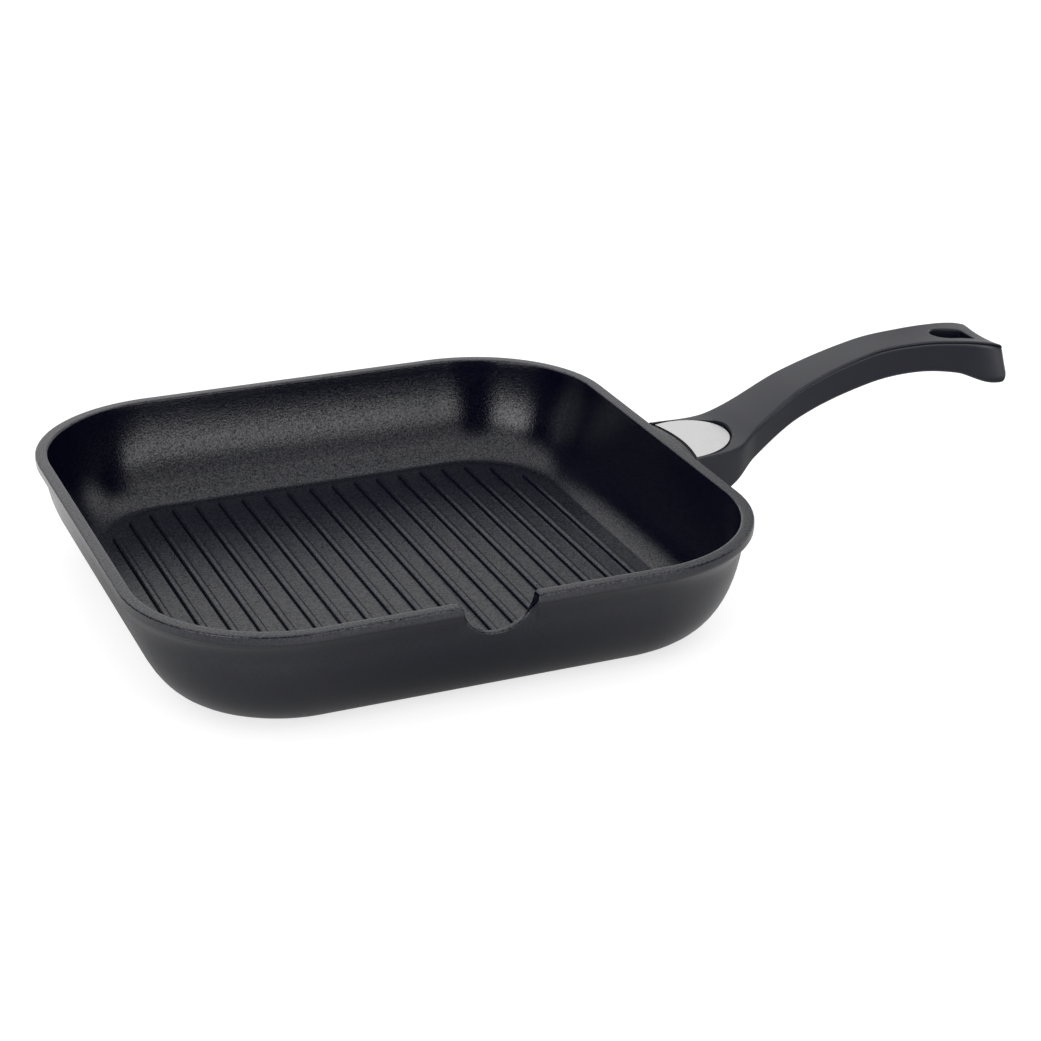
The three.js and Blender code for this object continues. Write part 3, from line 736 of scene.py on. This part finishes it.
# Zinc plate: a cool grey with a cloudy, half bright sheen. Its crystals are under 0.1 mm wide and are
# drawn at 0.9 mm so that they show.
crystal_size = 0.9 * MM
zinc, tree, output = new_material("zinc plated steel")
place = add(tree, "ShaderNodeTexCoord")
crystals = add(tree, "ShaderNodeTexVoronoi", {"Vector": place.outputs["Object"], "Scale": 1 / crystal_size})
wear = add(tree, "ShaderNodeTexNoise", {
    "Vector": place.outputs["Object"], "Scale": 1 / crystal_size, "Detail": 4.0})
tint = add(tree, "ShaderNodeMix", {
    0: wear.outputs["Fac"], 6: linear("#9da0a4"), 7: linear("#c3c6c9")}, data_type="RGBA")
dull = add(tree, "ShaderNodeMath", {
    0: crystals.outputs["Distance"], 1: 0.25, 2: 0.24}, operation="MULTIPLY_ADD")
skin = add(tree, "ShaderNodeBsdfPrincipled", {
    "Base Color": tint.outputs[2], "Metallic": 1.0, "Roughness": dull.outputs["Value"]})
tree.links.new(skin.outputs["BSDF"], output.inputs["Surface"])
for node in ("threaded_insert", "flat_washer", "spring_washer", "handle_screw"):
    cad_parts[node].data.materials.clear()
    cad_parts[node].data.materials.append(zinc)

# Studio
# The pan stands on a white sweep that carries its soft shadow. A pale backdrop stands behind it and ends at
# the left, light comes from overhead and from the right, and two low soft boxes stand in front, at the left
# and the right, each with a weaker one above it.
floor_size = 12.0
floor_gap = 0.0005
side = floor_size / 2
mesh = bpy.data.meshes.new("sweep")
corners = [(-side, -side), (side, -side), (side, side), (-side, side)]
mesh.from_pydata([(x, y, -floor_gap) for x, y in corners], [], [(0, 1, 2, 3)])
sweep = bpy.data.objects.new("sweep", mesh)
bpy.context.scene.collection.objects.link(sweep)

# White paper: the camera sees it white, with the shadow on it. Glossy rays see a glow with painted shade
# and light instead: a painted shadow dims it close to the pan and toward the right, and it is painted
# bright far off in front at the right.
paper, tree, output = new_material("matt white paper")
path = add(tree, "ShaderNodeLightPath")
glow = add(tree, "ShaderNodeMath", {0: path.outputs["Is Camera Ray"], 1: 0.72}, operation="MULTIPLY")
matt = add(tree, "ShaderNodeBsdfDiffuse", {"Color": linear("#c0c0c0")})
lift = add(tree, "ShaderNodeEmission", {"Color": linear("#ffffff"), "Strength": glow.outputs["Value"]})
total = add(tree, "ShaderNodeAddShader", {0: matt.outputs["BSDF"], 1: lift.outputs["Emission"]})
spot = add(tree, "ShaderNodeTexCoord")
away = add(tree, "ShaderNodeVectorMath", {0: spot.outputs["Object"]}, operation="LENGTH")
front = add(tree, "ShaderNodeVectorMath", {
    0: spot.outputs["Object"], 1: (1.0, -0.5, 0.0)}, operation="DOT_PRODUCT")
spot = add(tree, "ShaderNodeSeparateXYZ", {"Vector": spot.outputs["Object"]})
# Painted light and shade in the glow: it fades toward the right, drops close to the pan as a painted
# shadow, and rises up to 4.5 times far off in front at the right.
painted_glow_level = add(tree, "ShaderNodeMapRange", {
    "Value": spot.outputs["X"], "From Min": 0.04, "From Max": 0.33, "To Min": 1.0, "To Max": 0.32},
    interpolation_type="SMOOTHSTEP")
left = add(tree, "ShaderNodeMapRange", {
    "Value": spot.outputs["X"], "From Min": -0.18, "From Max": -0.08, "To Min": 0.88, "To Max": 1.05})
painted_contact_shadow = add(tree, "ShaderNodeMapRange", {
    "Value": away.outputs["Value"], "From Min": 0.11, "From Max": 0.27, "To Min": 0.22, "To Max": 1.4},
    interpolation_type="SMOOTHSTEP")
painted_glow_level = add(tree, "ShaderNodeMath", {
    0: painted_glow_level.outputs["Result"], 1: painted_contact_shadow.outputs["Result"]}, operation="MULTIPLY")
painted_glow_level = add(tree, "ShaderNodeMath", {
    0: painted_glow_level.outputs["Value"], 1: left.outputs["Result"]}, operation="MULTIPLY")
front = add(tree, "ShaderNodeMapRange", {
    "Value": front.outputs["Value"], "From Min": 0.68, "From Max": 0.9, "To Min": 1.0, "To Max": 4.5})
painted_glow_level = add(tree, "ShaderNodeMath", {
    0: painted_glow_level.outputs["Value"], 1: front.outputs["Result"]}, operation="MULTIPLY")
painted_floor_glow = add(tree, "ShaderNodeEmission", {"Color": linear("#ffffff"), "Strength": painted_glow_level.outputs["Value"]})
shown = add(tree, "ShaderNodeMixShader", {
    0: path.outputs["Is Glossy Ray"], 1: total.outputs["Shader"], 2: painted_floor_glow.outputs["Emission"]})
tree.links.new(shown.outputs["Shader"], output.inputs["Surface"])
mesh.materials.append(paper)

world = bpy.data.worlds.new("studio")
bpy.context.scene.world = world
world.use_nodes = True
tree = world.node_tree
tree.nodes.clear()
path = add(tree, "ShaderNodeLightPath")
aim = add(tree, "ShaderNodeTexCoord")
rear = add(tree, "ShaderNodeVectorMath", {
    0: aim.outputs["Generated"], 1: (-0.09, 0.996, 0.0)}, operation="DOT_PRODUCT")
rear = add(tree, "ShaderNodeMapRange", {
    "Value": rear.outputs["Value"], "From Min": 0.68, "From Max": 0.86, "To Min": 0.02, "To Max": 1.05},
    interpolation_type="SMOOTHSTEP")
edge = add(tree, "ShaderNodeVectorMath", {
    0: aim.outputs["Generated"], 1: (1.0, 0.0, 0.6)}, operation="DOT_PRODUCT")
edge = add(tree, "ShaderNodeMapRange", {
    "Value": edge.outputs["Value"], "From Min": -0.32, "From Max": -0.2, "To Min": 0.0, "To Max": 1.0})
rear = add(tree, "ShaderNodeMath", {
    0: rear.outputs["Result"], 1: edge.outputs["Result"]}, operation="MULTIPLY")
above = add(tree, "ShaderNodeVectorMath", {
    0: aim.outputs["Generated"], 1: (0.0, 0.15, 0.99)}, operation="DOT_PRODUCT")
above = add(tree, "ShaderNodeMapRange", {
    "Value": above.outputs["Value"], "From Min": 0.4, "From Max": 0.8, "To Min": 0.0, "To Max": 1.2},
    interpolation_type="SMOOTHSTEP")
beside = add(tree, "ShaderNodeVectorMath", {
    0: aim.outputs["Generated"], 1: (0.85, 0.35, 0.38)}, operation="DOT_PRODUCT")
beside = add(tree, "ShaderNodeMapRange", {
    "Value": beside.outputs["Value"], "From Min": 0.8, "From Max": 0.93, "To Min": 0.0, "To Max": 1.0},
    interpolation_type="SMOOTHSTEP")
lit = add(tree, "ShaderNodeMath", {
    0: rear.outputs["Value"], 1: above.outputs["Result"]}, operation="MAXIMUM")
lit = add(tree, "ShaderNodeMath", {
    0: lit.outputs["Value"], 1: beside.outputs["Result"]}, operation="MAXIMUM")
lit = add(tree, "ShaderNodeMath", {
    0: path.outputs["Is Camera Ray"], 1: lit.outputs["Value"]}, operation="MAXIMUM")
sky = add(tree, "ShaderNodeBackground", {"Color": linear("#ffffff"), "Strength": lit.outputs["Value"]})
output = add(tree, "ShaderNodeOutputWorld", {"Surface": sky.outputs["Background"]})


lamp_aim = np.array([0, 0, 0.03])


def soft_box(name, place, width, height, brightness):
    """A flat lamp at a place in metres, turned to face the pan; brightness is that of its face."""
    lamp = bpy.data.lights.new(name, "AREA")
    lamp.shape = "RECTANGLE"
    lamp.size, lamp.size_y = width, height
    lamp.energy = 4 * brightness * width * height
    holder = bpy.data.objects.new(name, lamp)
    way = lamp_aim - np.array(place)
    holder.location = place
    holder.rotation_mode = "QUATERNION"
    holder.rotation_quaternion = Vector(way).to_track_quat("-Z", "Y")
    holder.visible_camera = False
    bpy.context.scene.collection.objects.link(holder)


soft_box("left box", (-1.36, -0.78, 0.4), 1.16, 0.8, 2.5)
soft_box("right box", (0.54, -1.48, 0.3), 1.1, 0.6, 2.1)
soft_box("upper left box", (-1.09, -0.63, 1.0), 1.1, 0.75, 0.5)
soft_box("upper right box", (0.53, -1.14, 1.0), 1.1, 0.75, 0.6)

# The photograph's view: from the front left and above, through a long lens.
view_point = np.array([0.03834, -0.0674, 0.051])
view_distance = 1.0374
view_side = math.radians(22.811)
view_rise = math.radians(23.42)
view_roll = math.radians(0.241)
view_lens = 83.29
level_look = np.array([math.sin(view_side), math.cos(view_side), 0]) * math.cos(view_rise)
look = level_look - [0, 0, math.sin(view_rise)]
right = np.cross(look, (0, 0, 1))
right /= np.linalg.norm(right)
up = np.cross(right, look)
right, up = (right * math.cos(view_roll) + up * math.sin(view_roll),
             up * math.cos(view_roll) - right * math.sin(view_roll))
camera = bpy.data.objects.new("camera", bpy.data.cameras.new("camera"))
camera.data.lens = view_lens
camera.data.sensor_width = 36.0
pose = np.eye(4)
pose[:3, 0], pose[:3, 1], pose[:3, 2] = right, up, -look
pose[:3, 3] = view_point - look * view_distance
camera.matrix_world = Matrix(pose.tolist())
bpy.context.scene.collection.objects.link(camera)
bpy.context.scene.camera = camera
bpy.context.scene.view_settings.view_transform = "Standard"
